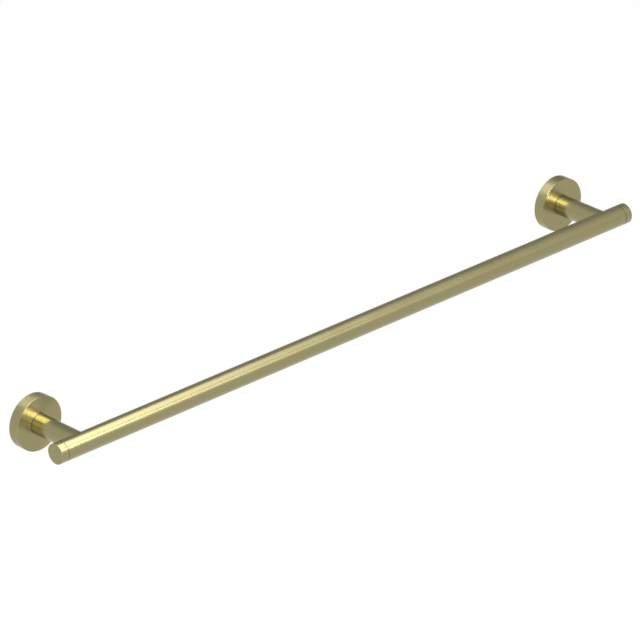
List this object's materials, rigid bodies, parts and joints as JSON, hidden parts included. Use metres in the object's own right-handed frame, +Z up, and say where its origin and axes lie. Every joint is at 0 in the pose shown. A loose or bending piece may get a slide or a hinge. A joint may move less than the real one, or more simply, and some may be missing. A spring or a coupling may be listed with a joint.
{
  "type": "towel rail",
  "caption": "Wall-mounted towel rail in brushed brass: a round bar across saddled arms, each on a round rose that hides its wall bracket.",
  "frame": {"origin": "on the wall plane, midway between the two wall brackets and level with the bar's axis", "axes": "+X along the bar to the right as seen from the room, +Y into the wall, +Z up"},
  "size_m": [0.664, 0.0685, 0.048],
  "materials": {
    "brushed_brass": "brushed satin, pale olive gold",
    "turned_brass": "plain turned brass",
    "plated_steel": "zinc-plated, dull",
    "stainless_steel": "plain stainless steel"
  },
  "bodies": {
    "root": {"towel_bar": "brushed_brass", "end_cap_left": "brushed_brass", "end_cap_right": "brushed_brass", "arm_left": "brushed_brass", "arm_right": "brushed_brass", "rose_left": "brushed_brass", "rose_right": "brushed_brass", "bar_insert_left": "turned_brass", "bar_insert_right": "turned_brass", "wall_bracket_left": "plated_steel", "wall_bracket_right": "plated_steel", "tie_screw_left": "stainless_steel", "tie_screw_right": "stainless_steel", "spring_washer_left": "stainless_steel", "spring_washer_right": "stainless_steel", "grub_screw_left": "stainless_steel", "grub_screw_right": "stainless_steel"}
  },
  "joints": []
}
